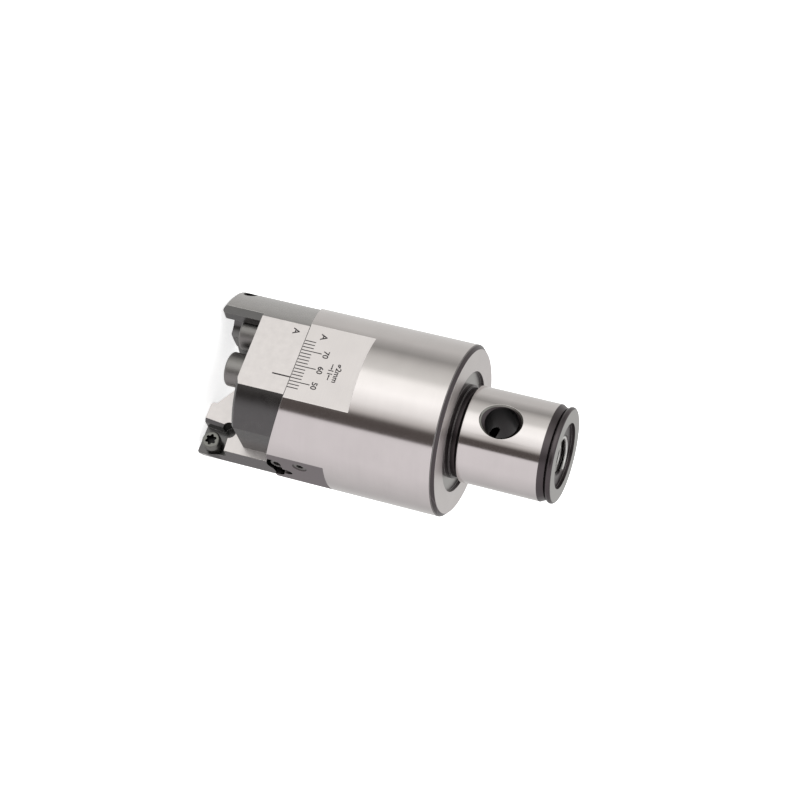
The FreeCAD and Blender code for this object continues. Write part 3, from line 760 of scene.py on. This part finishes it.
def lay_floor(studio):
    """A wide pale floor under the noses. It looks white, and keeps the object's shadow."""
    reach = studio.floor_reach
    height = cad_box[0].z
    mesh = bpy.data.meshes.new("floor")
    mesh.from_pydata([(-reach, -reach, height), (reach, -reach, height), (reach, reach, height),
                      (-reach, reach, height)], [], [(0, 1, 2, 3)])
    material = bpy.data.materials.new("studio_floor")
    material.use_nodes = True
    tree = material.node_tree
    shader = tree.nodes["Principled BSDF"]
    shader.inputs["Base Color"].default_value = studio.floor_colour
    shader.inputs["Roughness"].default_value = 0.9
    shader.inputs["Emission Color"].default_value = studio.floor_colour
    seen = 0.0
    for ray in ("Is Camera Ray", "Is Glossy Ray", "Is Transmission Ray"):
        kind = add(tree, "ShaderNodeLightPath", output=ray)
        seen = add(tree, "ShaderNodeMath", (seen, kind), operation="MAXIMUM")
    lift = add(tree, "ShaderNodeMath", (seen, studio.floor_lift), operation="MULTIPLY")
    tree.links.new(lift, shader.inputs["Emission Strength"])
    floor = new_piece("floor", mesh, material)
    floor.visible_glossy = False


# Each place is a name, a bearing in degrees, a level and a tint.
STUDIO_WALLS = (
    ("back wall, far end", -180, 0.66, "FFFEFB"),
    ("narrow gap by the left box", -156, 0.36, "FFFEF9"),
    ("left wall", -140, 0.68, "FFFEFA"),
    ("edge of the front box", -122, 0.85, "FFFFFB"),
    ("front box", -112, 1.28, "FFFFFC"),
    ("front box, middle", -92, 1.4, "FFFFFD"),
    ("front box, fading", -72, 1.05, "FFFEFC"),
    ("front box, end", -61, 0.60, "FFFBF7"),
    ("dark gap", -54, 0.10, "FFEFE9"),
    ("dark gap, end", -39.2, 0.10, "FFEFE9"),
    ("right box", -37.4, 0.86, "FFFBFD"),
    ("right box, end", 10, 0.84, "FFFBFD"),
    ("right wall", 70, 0.56, "FFFDFD"),
    ("back wall", 115, 0.74, "FFFFFD"),
    ("back wall, near end", 180, 0.66, "FFFEFB"),
)


def light_world(scene, studio):
    """White behind everything, even light on matt things, and a ring of walls for metal to mirror."""
    world = bpy.data.worlds.new("studio")
    scene.world = world
    world.use_nodes = True
    tree = world.node_tree
    tree.nodes.clear()
    heading = add(tree, "ShaderNodeTexCoord", output="Generated")
    x = add(tree, "ShaderNodeSeparateXYZ", (heading,), "X")
    y = add(tree, "ShaderNodeSeparateXYZ", (heading,), "Y")
    z = add(tree, "ShaderNodeSeparateXYZ", (heading,), "Z")
    bearing = add(tree, "ShaderNodeMath", (y, x), operation="ARCTAN2")
    part = add(tree, "ShaderNodeMapRange", (bearing, -math.pi, math.pi))
    ring = add(tree, "ShaderNodeValToRGB", (part,))
    stops = ring.node.color_ramp.elements
    while len(stops) > 1:
        stops.remove(stops[0])
    brightest = max(level for _, _, level, _ in STUDIO_WALLS)
    for place, (_, degrees, level, tint) in enumerate(STUDIO_WALLS):
        where = (degrees + 180) / 360
        stop = stops[0] if place == 0 else stops.new(where)
        stop.position = where
        stop.color = [level / brightest * channel for channel in linear(tint)[:3]] + [1]
    walls = add(tree, "ShaderNodeVectorMath", {0: ring, "Scale": brightest * studio.reflections},
                operation="SCALE")
    lean = add(tree, "ShaderNodeMath", (z,), operation="ABSOLUTE")
    steep = add(tree, "ShaderNodeMapRange", (lean, 0.55, 0.9), interpolation_type="SMOOTHSTEP")
    ceiling, fill, white = ([level] * 3 + [1] for level in (studio.ceiling, studio.fill, studio.background))
    mirrored = add(tree, "ShaderNodeMix", {0: steep, 6: walls, 7: ceiling}, 2, data_type="RGBA")
    glossy = add(tree, "ShaderNodeLightPath", output="Is Glossy Ray")
    camera = add(tree, "ShaderNodeLightPath", output="Is Camera Ray")
    through = add(tree, "ShaderNodeLightPath", output="Is Transmission Ray")
    straight = add(tree, "ShaderNodeMath", (camera, through), operation="MAXIMUM")
    lit = add(tree, "ShaderNodeMix", {0: glossy, 6: fill, 7: mirrored}, 2, data_type="RGBA")
    seen = add(tree, "ShaderNodeMix", {0: straight, 6: lit, 7: white}, 2, data_type="RGBA")
    around = add(tree, "ShaderNodeBackground", {"Color": seen, "Strength": 1.0})
    add(tree, "ShaderNodeOutputWorld", {"Surface": around})


# Each lamp is a name, a place in metres, a side in metres and a power in watts.
LAMPS = (
    ("overhead", (0.1, -0.25, 1.1), 1.2, 9.0),
    ("front", (-0.5, -1.0, 0.55), 0.9, 5.0),
)


def hang_lamps():
    """A large soft lamp overhead and a weaker one at the front, both out of the metal's sight."""
    for name, place, size, power in LAMPS:
        lamp = bpy.data.lights.new(name, "AREA")
        lamp.size = size
        lamp.energy = power
        lamp_object = bpy.data.objects.new(name, lamp)
        lamp_object.location = place
        lamp_object.rotation_euler = (-Vector(place)).to_track_quat("-Z", "Y").to_euler()
        lamp_object.visible_glossy = False
        bpy.context.scene.collection.objects.link(lamp_object)


CAMERA_PLACE = Vector((0.21717, -0.51773, 0.14728))
CAMERA_AXES = (
    Vector((-0.32382, 0.16406, 0.93179)),   # to the view's right
    Vector((-0.86746, -0.44464, -0.22317)), # up in the view
    Vector((0.37770, -0.88055, 0.28630)),   # back from the view
)


def place_camera(scene, studio):
    """Looks at the scale flat from the front left, rolled so that the tool lies across the view."""
    camera = bpy.data.cameras.new("camera")
    camera.lens = studio.lens
    camera.sensor_width = 36.0
    camera_object = bpy.data.objects.new("camera", camera)
    scene.collection.objects.link(camera_object)
    turned = Matrix(CAMERA_AXES).transposed().to_4x4()
    camera_object.matrix_world = Matrix.Translation(CAMERA_PLACE) @ turned
    scene.camera = camera_object


# Add-on -------------------------------------------------------------------------------------------


STEPS = (FinishSteel, MarkScales, MarkNumerals, MarkDivision, MarkSides, MarkIndexes, CutDrawThread,
         SetStudio)
GROUPS = {"boring_body": BodySizes, "boring_scale": ScaleSizes, "boring_division": DivisionSizes,
          "boring_threads": ThreadSizes, "boring_colours": FinishColours, "boring_studio": StudioSettings}


class BoringHeadPanel(bpy.types.Panel):
    """Lists the sizes, the colours and the steps."""

    bl_idname = "VIEW3D_PT_boring_head"
    bl_label = "Boring head"
    bl_space_type = "VIEW_3D"
    bl_region_type = "UI"
    bl_category = "Boring head"

    def draw(self, context):
        for name, group in GROUPS.items():
            box = self.layout.box()
            box.label(text=group.__name__)
            for prop in group.__annotations__:
                box.prop(getattr(context.scene, name), prop)
        for step in STEPS:
            self.layout.operator(step.bl_idname)


def register():
    """Registers the property groups, the operators and the panel."""
    for name, group in GROUPS.items():
        bpy.utils.register_class(group)
        setattr(bpy.types.Scene, name, PointerProperty(type=group))
    for step in STEPS:
        bpy.utils.register_class(step)
    bpy.utils.register_class(BoringHeadPanel)


def unregister():
    """Takes everything back out."""
    bpy.utils.unregister_class(BoringHeadPanel)
    for step in reversed(STEPS):
        bpy.utils.unregister_class(step)
    for name, group in GROUPS.items():
        delattr(bpy.types.Scene, name)
        bpy.utils.unregister_class(group)


def main():
    """Runs every step in order."""
    register()
    for step in STEPS:
        group, name = step.bl_idname.split(".")
        getattr(getattr(bpy.ops, group), name)()


if __name__ == "__main__":
    main()
